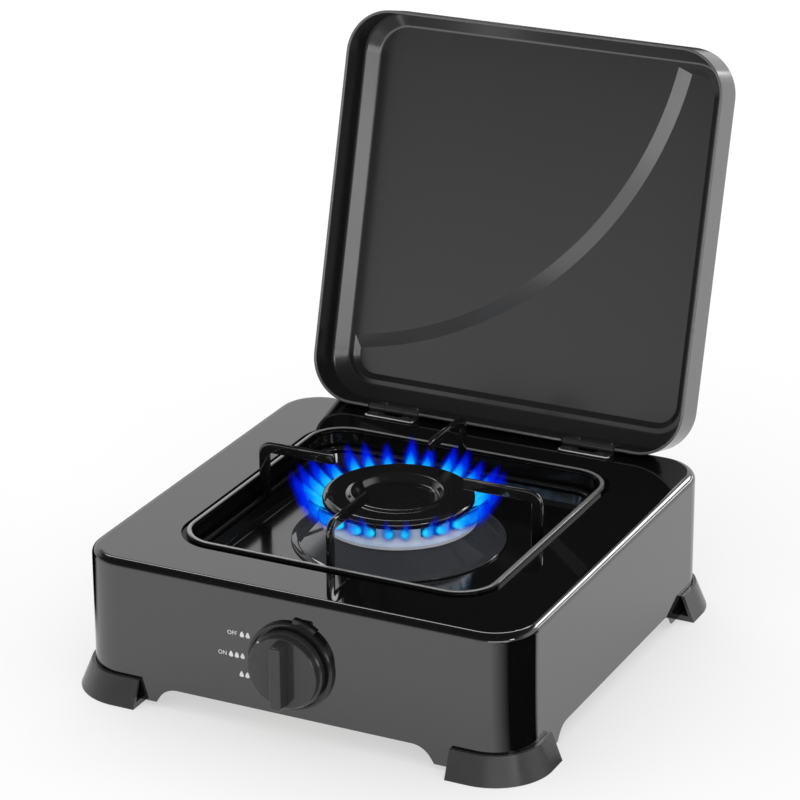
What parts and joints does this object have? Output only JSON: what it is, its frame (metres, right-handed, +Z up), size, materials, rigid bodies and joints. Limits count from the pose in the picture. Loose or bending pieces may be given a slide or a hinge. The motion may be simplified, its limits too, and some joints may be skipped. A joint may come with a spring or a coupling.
{
  "type": "camping stove",
  "caption": "Table-top gas camping stove: pressed square body on corner feet, burner in a sunken well under a bar pan support, front knob, hinged lid that folds down over the top.",
  "frame": {"origin": "on the floor under the middle of the box round the whole stove with its lid open", "axes": "+Z up, the knob faces -Y, the lid's hinges are at +Y, +X to the right of a person at the knob"},
  "size_m": [0.3034, 0.3856, 0.3376],
  "materials": {
    "enamel": "glossy black enamel",
    "cap_enamel": "satin black enamel",
    "support": "semi-gloss black enamel",
    "plastic": "fine-grained black plastic",
    "knob_plastic": "satin black plastic",
    "aluminium": "cast and turned aluminium",
    "hinge": "glossy black paint",
    "steel": "zinc-plated steel",
    "brass": "machined brass"
  },
  "bodies": {
    "base": {"body_shell": "enamel", "foot_front_left": "plastic", "foot_front_right": "plastic", "foot_rear_left": "plastic", "foot_rear_right": "plastic", "foot_screws": "steel", "hinge_body_leaf_left": "hinge", "hinge_body_leaf_right": "hinge", "hinge_pin_left": "steel", "hinge_pin_right": "steel", "hinge_body_rivets": "hinge", "drip_cone": "enamel", "burner_base": "aluminium", "pan_frame": "support", "pan_arm_right": "support", "pan_arm_rear": "support", "pan_arm_left": "support", "pan_arm_front": "support", "knob_bezel": "knob_plastic", "valve_cover": "steel", "valve_cover_screws": "steel", "valve_body": "brass", "spindle_spring": "steel", "injector": "brass", "valve_bracket": "steel", "bracket_screws": "steel", "mixing_tube": "aluminium", "burner_screws": "steel", "gas_pipe": "steel", "union_nut": "brass", "inlet_nozzle": "brass", "inlet_nut": "brass"},
    "lid": {"lid_shell": "enamel", "hinge_lid_leaf_left": "hinge", "hinge_lid_leaf_right": "hinge", "hinge_lid_rivets": "hinge"},
    "cap": {"burner_cap": "cap_enamel"},
    "plug": {"valve_plug": "brass"},
    "knob": {"knob": "knob_plastic", "valve_spindle": "steel"}
  },
  "joints": [
    {"name": "lid_hinge", "type": "hinge", "parent": "base", "child": "lid", "pos_m": [0, 0.10035, 0.09315], "axis": [-1, 0, 0], "range_deg": [-105, 0]},
    {"name": "burner_cap_lift", "type": "slide", "parent": "base", "child": "cap", "axis": [0, 0, 1], "range_m": [0, 0.005]},
    {"name": "knob_turn", "type": "hinge", "parent": "base", "child": "plug", "pos_m": [0, -0.14415, 0.0465], "axis": [0, -1, 0], "range_deg": [0, 65]},
    {"name": "knob_push", "type": "slide", "parent": "plug", "child": "knob", "axis": [0, 1, 0], "range_m": [0, 0.003], "stiffness_N_per_m": 1000, "springref_m": -0.002, "deforming": ["spindle_spring"]}
  ]
}
